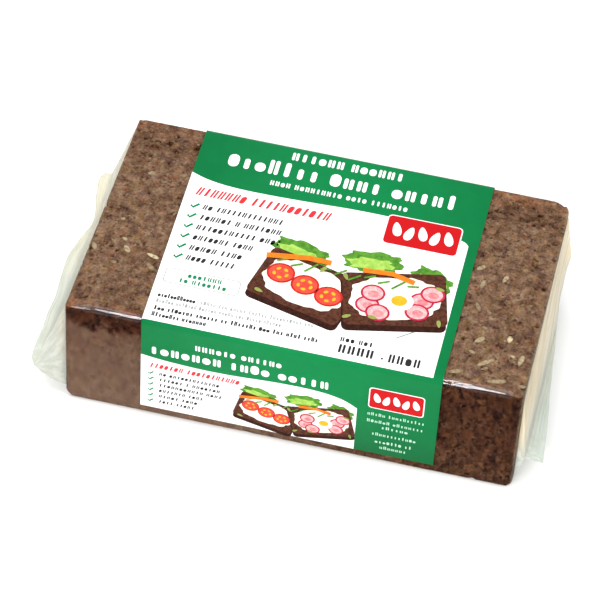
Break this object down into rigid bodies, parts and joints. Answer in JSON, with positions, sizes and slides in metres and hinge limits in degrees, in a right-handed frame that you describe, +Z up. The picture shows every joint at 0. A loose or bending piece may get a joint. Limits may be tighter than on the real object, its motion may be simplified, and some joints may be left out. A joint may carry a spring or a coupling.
{
  "type": "film-wrapped pumpkin seed bread",
  "caption": "Block of dark whole-grain pumpkin seed bread, sealed in clear film with a flat seal at each end and a printed label band round the middle.",
  "frame": {"origin": "the middle of the bread block's flat bottom face, on the surface it lies on", "axes": "+X along the block, from one sealed end to the other, +Y from the front face to the back face, +Z up through the cut top face"},
  "size_m": [0.1783, 0.0919, 0.0497],
  "materials": {
    "bread": "dense crumb under clear film",
    "label": "smooth printed film, green and white",
    "clear_film": "clear glossy film, milky where it is folded",
    "seeds": "pale cut pumpkin seeds"
  },
  "bodies": {
    "root": {"wrapped_bread": "bread", "label": "label"}
  },
  "joints": []
}
